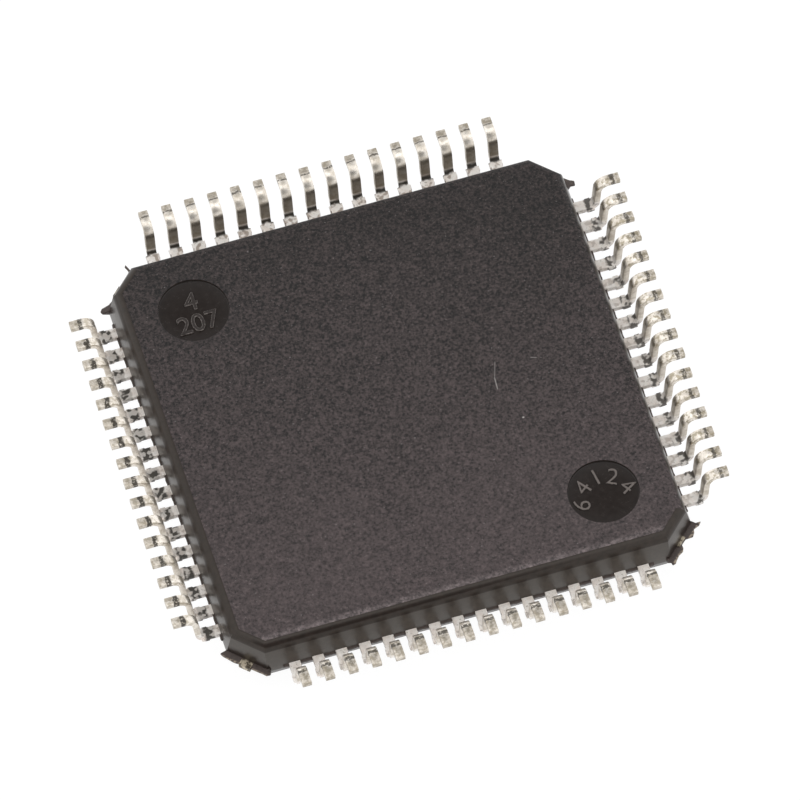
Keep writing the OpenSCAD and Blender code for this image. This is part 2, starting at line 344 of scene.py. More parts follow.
def number_material(name, top):
    """The same compound on the raised numbers: frosted, with smooth or frosted tops."""
    material, tree, coords = new_material(name)
    grain = add_node(tree, "TexNoise", {"Vector": coords, "Scale": grains(0.04), "Detail": 3.0, "Roughness": 0.6})
    share = add_node(tree, "MapRange", (grain, 0.35, 0.65), **SOFT)
    frosted = add_node(tree, "Mix", {0: share, 6: linear("#3a3431"), 7: linear("#88807b")}, **OF_COLOURS)
    normal = add_node(tree, "NewGeometry").outputs["Normal"]
    upright = add_node(tree, "SeparateXYZ", (normal,)).outputs["Z"]
    on_top = add_node(tree, "MapRange", (upright, 0.8, 0.98), **SOFT)
    tone = add_node(tree, "Mix", {0: on_top, 6: frosted, 7: linear(top)}, **OF_COLOURS)
    shader = add_node(tree, "BsdfPrincipled", {
        "Base Color": tone, "Roughness": 0.4, "IOR": 1.55, "Specular IOR Level": 0.3})
    add_node(tree, "OutputMaterial", {"Surface": shader})
    return material


def across_corners(tree, axes):
    """The distance from the body's centre along the diagonal that runs through the nearest corner."""
    width, depth = (add_node(tree, "Math", (axes[a],), operation="ABSOLUTE") for a in ("X", "Y"))
    total = add_node(tree, "Math", (width, depth), operation="ADD")
    return add_node(tree, "Math", (total, math.sqrt(0.5)), operation="MULTIPLY")


def flash_material():
    """Thin epoxy flash, torn along its edge: dull and brown, and paler where it thins out."""
    colours = bpy.context.scene.chip_colours
    material, tree, coords = new_material("epoxy_flash")
    axes = add_node(tree, "SeparateXYZ", (coords,)).outputs
    grain = add_node(tree, "TexNoise", {"Vector": coords, "Scale": grains(0.06), "Detail": 4.0, "Roughness": 0.6})
    thin = where_all(
        tree, add_node(tree, "MapRange", (across_corners(tree, axes), 6.67 * MM, 6.71 * MM), **SOFT),
        add_node(tree, "MapRange", (grain, 0.4, 0.6), **SOFT),
        add_node(tree, "MapRange", (axes["Y"], 0, -3 * MM, 0.1, 1), **SOFT))
    tone = add_node(tree, "Mix", {0: grain, 6: colours.flash_dark, 7: colours.flash_light}, **OF_COLOURS)
    tone = add_node(tree, "Mix", {0: thin, 6: tone, 7: linear("#a39583")}, **OF_COLOURS)
    normal = add_node(tree, "Bump", {"Height": grain, "Distance": 0.012 * MM, "Strength": 0.6})
    shader = add_node(tree, "BsdfPrincipled", {
        "Base Color": tone, "Roughness": 0.55, "IOR": 1.5, "Normal": normal})
    add_node(tree, "OutputMaterial", {"Surface": shader})
    return material


def by_row(tree, axes, front, right, back, left):
    """A value for each row of leads."""
    edge = 4.95 * MM
    value = 0.0
    for axis, operation, at, amount in (("Y", "GREATER_THAN", edge, back), ("Y", "LESS_THAN", -edge, front),
                                        ("X", "GREATER_THAN", edge, right), ("X", "LESS_THAN", -edge, left)):
        in_row = add_node(tree, "Math", (axes[axis], at), operation=operation)
        value = add_node(tree, "Math", (in_row, amount, value), operation="MULTIPLY_ADD")
    return value


def contact_stain(tree, axes, at, foot, fine):
    """The dark spot that a test socket's contact leaves on each foot."""
    spot = by_row(tree, axes, 5.655 * MM, 5.82 * MM, 5.815 * MM, 5.765 * MM)
    half = by_row(tree, axes, 0.045 * MM, 0.042 * MM, 0.022 * MM, 0.055 * MM)
    off = add_node(tree, "Math", (at, spot), operation="SUBTRACT")
    off = add_node(tree, "Math", (off,), operation="ABSOLUTE")
    past = add_node(tree, "Math", (off, half), operation="SUBTRACT")
    return where_all(
        tree, add_node(tree, "MapRange", (past, 0.015 * MM, -0.015 * MM), **SOFT), foot,
        by_row(tree, axes, 0.9, 0.85, 0.85, 0.95), add_node(tree, "MapRange", (fine, 0.3, 0.5), **SOFT))


def stub_grime_and_shade(tree, axes, at, blots):
    """The grime that the trimming tool leaves over the dam bar stubs, and painted shade in the shoulder bend where
    it mirrors the dark body, solid on the back row.
    """
    start = by_row(tree, axes, 5.3 * MM, 5.2 * MM, 5.32 * MM, 5.1 * MM)
    end = by_row(tree, axes, 5.43 * MM, 5.43 * MM, 5.43 * MM, 5.33 * MM)
    past_start = add_node(tree, "Math", (at, start), operation="SUBTRACT")
    past_end = add_node(tree, "Math", (at, end), operation="SUBTRACT")
    blotchy = add_node(tree, "MapRange", (blots, 0.4, 0.56), **SOFT)
    return where_all(
        tree, add_node(tree, "MapRange", (past_start, 0.0, 0.05 * MM), **SOFT),
        add_node(tree, "MapRange", (past_end, 0.03 * MM, -0.03 * MM), **SOFT),
        add_node(tree, "MapRange", (axes["Z"], 0.9 * MM, 0.82 * MM), **SOFT),
        by_row(tree, axes, 0.35, 0.9, 1.0, 1.0),
        add_node(tree, "Math", (blotchy, by_row(tree, axes, 0, 0.1, 1, 0.4)), operation="MAXIMUM"))


def tin_material():
    """Matte tin plating: satin white on the shoulders, rubbed bright and stained where tools touched the leads,
    with painted shade in the shoulder bends and on the necks.
    """
    colours = bpy.context.scene.chip_colours
    material, tree, coords = new_material("matte_tin_plating")
    axes = add_node(tree, "SeparateXYZ", (coords,)).outputs
    fine, patch, smears, blots = (
        add_node(tree, "TexNoise", {"Vector": coords, "Scale": grains(size), "Detail": detail, "Roughness": rough})
        for size, detail, rough in ((0.05, 4.0, 0.65), (0.16, 3.0, 0.6), (0.09, 2.0, 0.6), (0.13, 1.0, 0.5)))
    foot = add_node(tree, "MapRange", (axes["Z"], 1.2 * MM, 1.35 * MM), **SOFT)
    shoulder = add_node(tree, "MapRange", (axes["Z"], 0.95 * MM, 0.85 * MM), **SOFT)
    # The distance from the body's centre, with a wander for the ends of the marks
    width, depth = (add_node(tree, "Math", (axes[a],), operation="ABSOLUTE") for a in ("X", "Y"))
    reach = add_node(tree, "Math", (width, depth), operation="MAXIMUM")
    wander = add_node(tree, "Math", (patch, 0.5), operation="SUBTRACT")
    at = add_node(tree, "Math", (wander, 0.14 * MM, reach), operation="MULTIPLY_ADD")
    stain_and_shade = add_node(tree, "Math", (
        contact_stain(tree, axes, at, foot, fine), stub_grime_and_shade(tree, axes, at, blots)), operation="MAXIMUM")
    # The plating itself, greyer in patches
    patchy = add_node(tree, "MapRange", (patch, 0.35, 0.7), **SOFT)
    outer = add_node(tree, "Mix", {0: patchy, 6: colours.tin_light, 7: colours.tin_grey}, **OF_COLOURS)
    inner = add_node(tree, "Mix", {0: patchy, 6: colours.satin_light, 7: colours.satin_grey}, **OF_COLOURS)
    tone = add_node(tree, "Mix", {0: shoulder, 6: outer, 7: inner}, **OF_COLOURS)
    mottles = where_all(tree, shoulder, by_row(tree, axes, 0.1, 0.45, 0.8, 0.45),
                        add_node(tree, "MapRange", (blots, 0.5, 0.64), **SOFT))
    specks = add_node(tree, "MapRange", (fine, 0.58, 0.7, 0.0, 0.6), **SOFT)
    smeared = where_all(tree, foot, by_row(tree, axes, 0.5, 0.8, 0.25, 0.5),
                        add_node(tree, "MapRange", (smears, 0.46, 0.6), **SOFT))
    # The tips past the contact stain are duller
    past = add_node(tree, "Math", (
        at, by_row(tree, axes, 5.7 * MM, 5.86 * MM, 5.84 * MM, 5.82 * MM)), operation="SUBTRACT")
    dull = where_all(tree, add_node(tree, "MapRange", (past, 0.0, 0.02 * MM), **SOFT), foot,
                     by_row(tree, axes, 0.6, 0.55, 0.7, 0.5),
                     add_node(tree, "MapRange", (smears, 0.3, 0.6, 0.5, 1.0), **SOFT))
    # Painted reflection: the necks are painted grey-brown, most of all on the back row, for the dark body wall
    # they mirror
    grey = where_all(tree, add_node(tree, "MapRange", (axes["Z"], 1.49 * MM, 1.32 * MM), **SOFT),
                     add_node(tree, "MapRange", (shoulder, 1, 0), **SOFT),
                     by_row(tree, axes, 0.2, 0.3, 0.7, 0.1))
    for cover, colour in ((mottles, "#a08f80"), (specks, "#8f8470"), (smeared, "#a2977f"), (dull, "#8a8171"),
                          (grey, "#756a57")):
        tone = add_node(tree, "Mix", {0: cover, 6: tone, 7: linear(colour)}, **OF_COLOURS)
    # The contact stains and the painted shade of the shoulder bends share one dark colour
    dirt_and_shade = add_node(tree, "Mix", {0: patch, 6: linear("#3d3322"), 7: linear("#444443")}, **OF_COLOURS)
    tone = add_node(tree, "Mix", {0: stain_and_shade, 6: tone, 7: dirt_and_shade}, **OF_COLOURS)
    neck = add_node(tree, "Math", (1.0, foot), operation="SUBTRACT")
    neck = add_node(tree, "Math", (neck, shoulder), operation="SUBTRACT")
    rough = add_node(tree, "MapRange", (patch, 0.3, 0.7, 0.26, 0.38), **SOFT)
    for place_of, amount in ((stain_and_shade, 0.15), (neck, 0.2)):
        rough = add_node(tree, "Math", (place_of, amount, rough), operation="MULTIPLY_ADD")
    # The satin white of the shoulders is rough enough to look almost like paint
    metallic = add_node(tree, "MapRange", (shoulder, 0.0, 1.0, 0.85, 0.05), **SOFT)
    normal = add_node(tree, "Bump", {"Height": fine, "Distance": 0.006 * MM, "Strength": 0.4})
    shader = add_node(tree, "BsdfPrincipled", {
        "Base Color": tone, "Metallic": metallic, "Roughness": rough, "Normal": normal})
    add_node(tree, "OutputMaterial", {"Surface": shader})
    return material


def plain_metal(name, light, dark, rough):
    """A rolled or drawn metal inside the moulding, with a fine grain."""
    material, tree, coords = new_material(name)
    grain = add_node(tree, "TexNoise", {"Vector": coords, "Scale": grains(0.08), "Detail": 3.0, "Roughness": 0.5})
    tone = add_node(tree, "Mix", {0: grain, 6: linear(dark), 7: linear(light)}, **OF_COLOURS)
    normal = add_node(tree, "Bump", {"Height": grain, "Distance": 0.003 * MM, "Strength": 0.4})
    shader = add_node(tree, "BsdfPrincipled", {
        "Base Color": tone, "Metallic": 1.0, "Roughness": rough, "Normal": normal})
    add_node(tree, "OutputMaterial", {"Surface": shader})
    return material


def die_pad_material():
    """Rolled copper alloy, dull inside the moulding; the sheared ends of its tie bars outside are tin plated."""
    material, tree, coords = new_material("copper_alloy")
    axes = add_node(tree, "SeparateXYZ", (coords,)).outputs
    grain = add_node(tree, "TexNoise", {"Vector": coords, "Scale": grains(0.08), "Detail": 3.0, "Roughness": 0.6})
    copper = add_node(tree, "Mix", {0: grain, 6: linear("#b98262"), 7: linear("#e2b08c")}, **OF_COLOURS)
    patchy = add_node(tree, "MapRange", (grain, 0.4, 0.6), **SOFT)
    tin = add_node(tree, "Mix", {0: patchy, 6: linear("#4a4133"), 7: linear("#c4b8a2")}, **OF_COLOURS)
    plated = add_node(tree, "MapRange", (across_corners(tree, axes), 6.55 * MM, 6.57 * MM), **SOFT)
    tone = add_node(tree, "Mix", {0: plated, 6: copper, 7: tin}, **OF_COLOURS)
    metallic = add_node(tree, "MapRange", (plated, 0.0, 1.0, 1.0, 0.3), **SOFT)
    normal = add_node(tree, "Bump", {"Height": grain, "Distance": 0.006 * MM, "Strength": 0.5})
    shader = add_node(tree, "BsdfPrincipled", {
        "Base Color": tone, "Metallic": metallic, "Roughness": 0.4, "Normal": normal})
    add_node(tree, "OutputMaterial", {"Surface": shader})
    return material


def film_material():
    """Die attach film, a soft cured resin filled with silver flakes."""
    material, tree, coords = new_material("die_attach_film")
    flakes = add_node(tree, "TexNoise", {
        "Vector": coords, "Scale": grains(0.02), "Detail": 2.0, "Roughness": 0.5})
    tone = add_node(tree, "Mix", {0: flakes, 6: linear("#8f8f92"), 7: linear("#c4c4c8")}, **OF_COLOURS)
    shader = add_node(tree, "BsdfPrincipled", {"Base Color": tone, "Metallic": 0.4, "Roughness": 0.5})
    add_node(tree, "OutputMaterial", {"Surface": shader})
    return material


# ---- Sizes and colours ----


def length(name, description, default_mm):
    return FloatProperty(name=name, description=description, default=default_mm * MM, min=0.0,
                         unit="LENGTH", precision=6)


def angle(name, description, default_deg):
    return FloatProperty(name=name, description=description, default=math.radians(default_deg), unit="ROTATION")


def colour(name, description, code):
    return FloatVectorProperty(name=name, description=description, default=linear(code), size=4, min=0.0, max=1.0,
                               subtype="COLOR")


class ChipMoulding(bpy.types.PropertyGroup):
    body_w: length("Width", "Width of the moulded body at its parting line", 10)
    body_short: length("Shorter by", "How much shorter the body is from front to back", 0.06)
    body_h: length("Thickness", "Thickness of the moulded body", 1.4)
    corner_cut: length("Corner cut", "Leg of each corner cut at the parting line", 0.7)
    draft: angle("Draft", "Draft angle of the side walls", 12)
    corner_draft: angle("Corner draft", "Draft angle of the corner cuts", 8)
    edge_r: length("Edge radius", "Radius of the edges round the underside", 0.2)
    top_short: length("Marking half smaller by", "How much smaller the marking half is, over both sides", 0.15)
    top_draft: angle("Marking half draft", "Draft angle of the side walls of the half with the marking", 16)
    top_edge_r: length("Marking edge radius", "Radius of the edges round the marking face", 0.28)
    flash_out: length("Side flash", "How far the flash between the leads stands out", 0.04)
    corner_flash_out: length("Corner flash", "How far the flash at the corners stands out", 0.17)
    eject_d: length("Ejector mark", "Diameter of the ejector pin marks", 1.5)
    eject_depth: length("Ejector depth", "Depth of the ejector pin marks", 0.06)
    eject_inset: length("Ejector inset", "Distance of the ejector marks from both their sides", 1.6)
    pin_one_d: length("Pin one mark", "Diameter of the pin one mark", 0.8)
    pin_one_depth: length("Pin one depth", "Depth of the pin one mark", 0.08)
    pin_one_inset: length("Pin one inset", "Distance of the pin one mark from both its sides", 1.2)


class ChipLeads(bpy.types.PropertyGroup):
    per_side: IntProperty(name="Leads a side", description="Number of leads on each side", default=16, min=4)
    pitch: length("Pitch", "Lead pitch", 0.5)
    lead_t: length("Thickness", "Thickness of the lead frame", 0.127)
    lead_w: length("Foot width", "Width of the neck and foot", 0.2)
    shoulder_w: length("Shoulder width", "Width where the lead leaves the body", 0.24)
    stub_w: length("Stub width", "Width over the dam bar stubs", 0.28)
    stub_back: length("Stub start", "How far before the shoulder bend the stubs begin", 0.06)
    shoulder_l: length("Shoulder", "Length of the flat shoulder outside the body", 0.3)
    lead_out: length("Reach", "How far the tips stand out from the body", 0.98)
    stand_off: length("Stand off", "Height of the feet over the underside", 0.13)
    neck_lean: angle("Neck lean", "Lean of the neck from the vertical", 5)
    shoulder_bend: length("Shoulder bend", "Inside radius of the bend at the shoulder", 0.1)
    foot_bend: length("Foot bend", "Inside radius of the bend at the foot", 0.17)
    root_l: length("Finger root", "Length of the straight part of each finger inside the body", 0.5)
    tip_y: length("Finger tip", "Distance of the finger tips from the centre line", 2.75)
    tip_w: length("Finger tip width", "Width of the finger tips", 0.16)
    tip_spread: length("Finger spread", "Distance between the outermost finger tips of a side", 4.64)


class ChipColours(bpy.types.PropertyGroup):
    # Painted light: the face goes from the first colour at the back to the second towards the front, as a near
    # lamp would light it
    face: colour("Face", "The eroded faces of the moulding where they are clean", "#26201f")
    painted_front_light: colour("Haze", "The eroded faces where mould release fills their grain", "#473e3e")
    wall_dark: colour("Walls, dark", "The dark patches of the walls and round edges", "#1c1512")
    wall_light: colour("Walls, light", "The light patches of the walls and round edges", "#281f1b")
    mark_dark: colour("Ejector marks, dark", "The dark patches of the ejector pin marks", "#1b1512")
    mark_light: colour("Ejector marks, light", "The light patches of the ejector pin marks", "#241c18")
    flash_dark: colour("Flash, dark", "The dark patches of the flash", "#2e2422")
    flash_light: colour("Flash, light", "The light patches of the flash", "#51453f")
    tin_light: colour("Tin, light", "The bright patches of the necks and feet", "#f8f1e7")
    tin_grey: colour("Tin, grey", "The greyer patches of the necks and feet", "#d9d0c3")
    satin_light: colour("Shoulders, light", "The bright patches of the shoulders", "#fffaf4")
    satin_grey: colour("Shoulders, grey", "The greyer patches of the shoulders", "#f3e9e0")


class ChipStage(bpy.types.PropertyGroup):
    floor_w: length("Floor", "Width of the floor", 600)
    lens: FloatProperty(name="Lens", description="Focal length of the camera", default=629.6, unit="CAMERA")
    camera_at: FloatVectorProperty(name="Camera", description="Place of the camera", unit="LENGTH",
                                   default=(-0.0372726, -0.1453452, 0.2492488), precision=6)
    azimuth: angle("Azimuth", "Where the camera stands round the chip, from the front", -14.40136)
    elevation: angle("Elevation", "How high the camera stands over the horizon", 58.80841)
    roll: angle("Roll", "How far the camera is tipped sideways", -2.97808)


# ---- Moulded body and its flash ----


def corner_points(half_w, half_l, cut):
    """The eight corners of the body's outline, for the given distance of the corner cuts from the centre."""
    reach = cut * math.sqrt(2)
    x_cut = reach - half_l
    y_cut = reach - half_w
    quarter = [(x_cut, half_l), (half_w, y_cut)]
    return [(sx * x, sy * y) for sx in (-1, 1) for sy in (-1, 1) for x, y in quarter]


def settle_outline(obj, z, points):
    """Moves each corner of the level z onto the nearest of the points, all in mm."""
    for x, y in points:
        pick("vert", lambda v: abs(v.co.z / MM - z) < 0.01)
        bm = bmesh.from_edit_mesh(obj.data)
        level = [v for v in bm.verts if v.select]
        near = min(level, key=lambda v: (v.co.x / MM - x) ** 2 + (v.co.y / MM - y) ** 2)
        shift = Vector((x * MM - near.co.x, y * MM - near.co.y, 0))
        place_of = near.co.copy()
        pick("vert", lambda v: (v.co - place_of).length < 1e-7)
        bpy.ops.transform.translate(value=shift)


class CHIP_OT_moulding(bpy.types.Operator):
    """Moulds the body with its draft, rounded edges, ejector pin marks and pin one mark"""

    bl_idname = "chip.moulding"
    bl_label = "Moulded body"

    def execute(self, context):
        s = context.scene.chip_moulding
        t = context.scene.chip_leads.lead_t / MM
        half_w, half_l = s.body_w / 2 / MM, (s.body_w - s.body_short) / 2 / MM
        height, cut = s.body_h / MM, s.corner_cut / MM
        mid = height / 2
        only()
        bpy.ops.mesh.primitive_cube_add(size=MM, location=(0, 0, mid * MM))
        body = added("moulding", (2 * half_w, 2 * half_l, t))
        # The band at the parting line, as thick as the lead frame, with its corners cut
        start_edit(body)
        pick("edge", lambda e: abs(e.verts[0].co.z - e.verts[1].co.z) > 0.5 * t * MM)
        bpy.ops.mesh.bevel(offset_type="OFFSET", offset=cut * MM, segments=1, affect="EDGES")
        wall = mid - t / 2
        cut_half = (2 * half_w - cut) / math.sqrt(2)
        settle_outline(body, mid - t / 2, corner_points(half_w, half_l, cut_half))
        settle_outline(body, mid + t / 2, corner_points(half_w, half_l, cut_half))
        # The two drafted halves of the moulding, each with its own draft and edge radius
        halves = ((1, 0, s.draft, s.edge_r), (-1, s.top_short / 2 / MM, s.top_draft, s.top_edge_r))
        for way, ledge, draft, radius in halves:
            pick("face", lambda f: f.normal.z * way > 0.9)
            if ledge:
                bpy.ops.mesh.inset(thickness=ledge * MM)
            extrude(z=way * wall)
            level = mid + way * (t / 2 + wall)
            lean, corner_lean = wall * math.tan(draft) + ledge, wall * math.tan(s.corner_draft) + ledge
            settle_outline(body, level, corner_points(half_w - lean, half_l - lean, cut_half - corner_lean))
            pick("edge", lambda e: abs(middle(e).z - level) < 0.01)
            half_turn = (math.pi / 2 - draft) / 2
            bpy.ops.mesh.bevel(offset_type="OFFSET", offset=radius * math.tan(half_turn), segments=8,
                               profile=0.5, affect="EDGES", clamp_overlap=False)
        eject_at = half_w - s.eject_inset / MM
        pin_at = half_w - s.pin_one_inset / MM
        marks = [(eject_at, -eject_at, height, s.eject_d, s.eject_depth),
                 (-eject_at, eject_at, height, s.eject_d, s.eject_depth),
                 (-pin_at, -pin_at, 0, s.pin_one_d, s.pin_one_depth)]
        for x, y, z, d, depth in marks:
            press_mark(body, x, y, z, d / MM, depth / MM)
        smooth(body, 30)
        finish_faces(body, height, s.eject_depth / MM, s.eject_d / 2 / MM, [mark[:2] for mark in marks[:2]])
        tie_piece(body, "epoxy", "mould_body")
        return {"FINISHED"}


def finish_faces(body, height, mark_depth, mark_r, mark_centres):
    """Gives the walls, the two faces, the ejector marks and the round edges their own finish."""
    body.data.materials.clear()
    for material in (moulded_material("black_epoxy_wall", 0.8), eroded_material(), pin_mark_material(),
                     moulded_material("black_epoxy_rounding", 0.4)):
        body.data.materials.append(material)
    start_edit(body)
    # The round edges take a copy of the wall finish with half its reflection, a painted shade for the dark band
    # along them
    pick("face", lambda f: 0.25 < abs(f.normal.z) < 0.999)
    body.active_material_index = 3
    bpy.ops.object.material_slot_assign()
    # The eroded grain runs on over the round edges at the back and on the right, so the painted shade of the
    # rounding finish stays on the front and left
    pick("face", lambda f: abs(f.normal.z) > 0.999 and min(middle(f).z, height - middle(f).z) < 0.001
         or abs(f.normal.z) > 0.7 and f.normal.x + f.normal.y > 0.01)
    body.active_material_index = 1
    bpy.ops.object.material_slot_assign()
    pick("face", lambda f: abs(f.normal.z) > 0.2 and 0.01 < height - middle(f).z < mark_depth + 0.002
         and min((middle(f).xy - Vector(at)).length for at in mark_centres) < mark_r - 0.001)
    body.active_material_index = 2
    bpy.ops.object.material_slot_assign()
    only()


def press_mark(body, x, y, z, d, depth):
    """Sinks a round mark with a small fillet round its floor into a face of the body."""
    way = 1 if z > 0.1 else -1
    fillet = 0.4 * depth
    clear = 0.1
    centre = z + way * (clear - depth) / 2
    only()
    bpy.ops.mesh.primitive_cylinder_add(vertices=96, radius=d / 2 * MM, depth=(depth + clear) * MM,
                                        location=(x * MM, y * MM, centre * MM))
    cutter = added("pin_face")
    start_edit(cutter)
    pick("edge", lambda e: abs(middle(e).z - (z - way * depth)) < 0.001)
    bpy.ops.mesh.bevel(offset_type="OFFSET", offset=fillet * MM, segments=3, affect="EDGES")
    only(body)
    apply_modifier(body, "BOOLEAN", operation="DIFFERENCE", object=cutter, solver="EXACT")
    only(cutter)
    bpy.ops.object.delete()


class CHIP_OT_flash(bpy.types.Operator):
    """Adds the flash that the mould leaves between the leads and at the corners"""

    bl_idname = "chip.flash"
    bl_label = "Flash"

    def execute(self, context):
        s = context.scene.chip_moulding
        n = context.scene.chip_leads
        t, mid = n.lead_t / MM, s.body_h / 2 / MM
        material = flash_material()
        past_leads = 0.12
        row_l = ((n.per_side - 1) * n.pitch + n.shoulder_w) / MM + 2 * past_leads
        for side, name in enumerate(SIDES):
            half = (s.body_w - (s.body_short if side % 2 == 0 else 0)) / 2 / MM
            strip = side_flash("flash_" + name, row_l, half, s.flash_out / MM, mid, t, seed=11 + side)
            place(strip, turn=90 * side)
            finish_piece(strip, material, "epoxy")
        cut_half = (s.body_w - s.corner_cut) / math.sqrt(2) / MM
        cut_l = s.corner_cut * math.sqrt(2) / MM
        for corner, outline in enumerate(CORNER_FLASH):
            points = [(x * cut_l / 2, -cut_half - y * s.corner_flash_out / MM) for x, y in outline]
            ear = corner_flash(f"flash_corner_{corner + 1}", points, cut_half, cut_l, mid, t)
            place(ear, turn=90 * corner - 45)
            finish_piece(ear, material, "epoxy")
        return {"FINISHED"}


def side_flash(name, row_l, half, out, mid, t, seed):
    """The strip of flash along a side, thinner and ragged at its edge, with all sizes in mm."""
    sunk, ragged = 0.01, 0.006
    only()
    bpy.ops.mesh.primitive_grid_add(x_subdivisions=160, y_subdivisions=1, size=MM,
                                    location=(0, -(half + out / 2 - sunk) * MM, (mid - t / 2) * MM))
    strip = added(name, (row_l, out + 2 * sunk, 1))
    start_edit(strip)
    bpy.ops.mesh.select_all(action="SELECT")
    extrude(z=t)
    pick("vert", lambda v: v.co.y / MM < -half - out / 2)
    resize(z=0.4, about=(0, 0, mid))
    bpy.ops.transform.translate(value=(0, ragged * MM, 0))
    bpy.ops.transform.vertex_random(offset=ragged * MM, uniform=1.0, normal=0.0, seed=seed)
    smooth(strip, 40)
    return strip


def corner_flash(name, outline, cut_half, cut_l, mid, t):
    """The flash on a corner cut, thinner outside the body, with all sizes in mm."""
    sunk = 0.1
    points = outline + [(cut_l / 2, -cut_half + sunk), (-cut_l / 2, -cut_half + sunk)]
    low = mid - t / 2
    only()
    bpy.ops.mesh.primitive_circle_add(vertices=len(points), radius=0.5 * MM, fill_type="NGON",
                                      location=(0, -cut_half * MM, low * MM))
    ear = added(name)
    start_edit(ear)
    for index, (x, y) in enumerate(points):
        pick("vert", lambda v: v.index == index)
        bpy.ops.transform.translate(value=Vector((x, y, low)) * MM - ear_vertex(ear, index))
    bpy.ops.mesh.select_all(action="SELECT")
    bpy.ops.mesh.normals_make_consistent(inside=False)
    extrude(z=t)
    bpy.ops.mesh.select_all(action="SELECT")
    bpy.ops.mesh.normals_make_consistent(inside=False)
    pick("vert", lambda v: v.co.y / MM < -cut_half - 0.03)
    resize(z=0.45, about=(0, 0, mid))
    apply_modifier(ear, "BEVEL", width=0.02 * MM, segments=2, limit_method="ANGLE",
                   angle_limit=math.radians(60))
    smooth(ear, 40)
    return ear


def ear_vertex(obj, index):
    """In edit mode, where a vertex is."""
    bm = bmesh.from_edit_mesh(obj.data)
    bm.verts.ensure_lookup_table()
    return bm.verts[index].co.copy()


class CHIP_OT_numbers(bpy.types.Operator):
    """Raises plain cavity numbers on the floors of the ejector pin marks"""

    bl_idname = "chip.numbers"
    bl_label = "Cavity numbers"

    def execute(self, context):
        s = context.scene.chip_moulding
        at = (s.body_w / 2 - s.eject_inset) / MM
        centres = ((at, -at), (-at, at))
        floor = (s.body_h - s.eject_depth) / MM
        materials = [number_material(name, top) for name, top, *_ in NUMBER_STYLES]
        for index, (mark, text, (dx, dy), size, turn) in enumerate(MARK_NUMBERS):
            cx, cy = centres[mark]
            thinned, rounding = NUMBER_STYLES[mark][2:]
            only()
            bpy.ops.object.text_add(location=((cx + dx) * MM, (cy + dy) * MM, floor * MM),
                                    rotation=(0, 0, math.radians(turn)))
            digit = bpy.context.object
            digit.data.body = text
            digit.data.align_x = "CENTER"
            digit.data.align_y = "CENTER"
            digit.data.size = 1.3 * size * MM
            digit.data.offset = -thinned * MM
            digit.data.extrude = 0.014 * MM
            digit.data.bevel_depth = rounding * MM
            digit.data.bevel_resolution = 2
            bpy.ops.object.convert(target="MESH")
            digit = added(f"number_{mark + 1}_{index + 1}")
            smooth(digit, 40)
            finish_piece(digit, materials[mark], "epoxy")
        return {"FINISHED"}


# ---- Formed leads ----


def form_lead(n, body_h, half_w):
    """One gull wing lead at the middle of the front row, with its finger inside the body."""
    t, w = n.lead_t / MM, n.lead_w / MM
    shoulder_w, stub_w = n.shoulder_w / MM, n.stub_w / MM
    frame_z = body_h / 2
    bend_y = half_w + n.shoulder_l / MM
    root_y = half_w - n.root_l / MM
    only()
    bpy.ops.mesh.primitive_plane_add(size=MM, location=(0, -root_y * MM, frame_z * MM),
                                     rotation=(math.pi / 2, 0, 0))
    lead = added("lead", (shoulder_w, t, 1))
    start_edit(lead)
    bpy.ops.mesh.select_all(action="SELECT")
    extrude(y=-(bend_y - n.stub_back / MM - root_y))
    # The stubs of the cut dam bar, which run on into the shoulder bend
    extrude()
    resize(x=stub_w / shoulder_w)
    extrude(y=-n.stub_back / MM)
    turn = math.pi / 2 - n.neck_lean
    stub_turn = math.radians(28)
    shoulder_z = frame_z + t / 2
    axis_1 = (0, -bend_y * MM, shoulder_z * MM + n.shoulder_bend)
    bpy.ops.mesh.spin(steps=3, angle=stub_turn, center=axis_1, axis=(1, 0, 0))
    extrude()
    resize(x=w / stub_w)
    bpy.ops.mesh.spin(steps=6, angle=turn - stub_turn, center=axis_1, axis=(1, 0, 0))
    # The neck, at a length that puts the foot at its height, and the foot bend
    under = body_h + n.stand_off / MM - t
    mid_radii = (n.shoulder_bend + n.foot_bend) / MM + t
    rise = under - shoulder_z + t
    neck_l = (rise - mid_radii * (1 - math.cos(turn))) / math.sin(turn)
    run = mid_radii * math.sin(turn) + neck_l * math.cos(turn)
    extrude(y=-neck_l * math.cos(turn), z=neck_l * math.sin(turn))
    axis_2 = (0, -(bend_y + run) * MM, (under - n.foot_bend / MM) * MM)
    bpy.ops.mesh.spin(steps=9, angle=-turn, center=axis_2, axis=(1, 0, 0))
    tip = half_w + n.lead_out / MM
    extrude(y=-(tip - bend_y - run))
    return lead


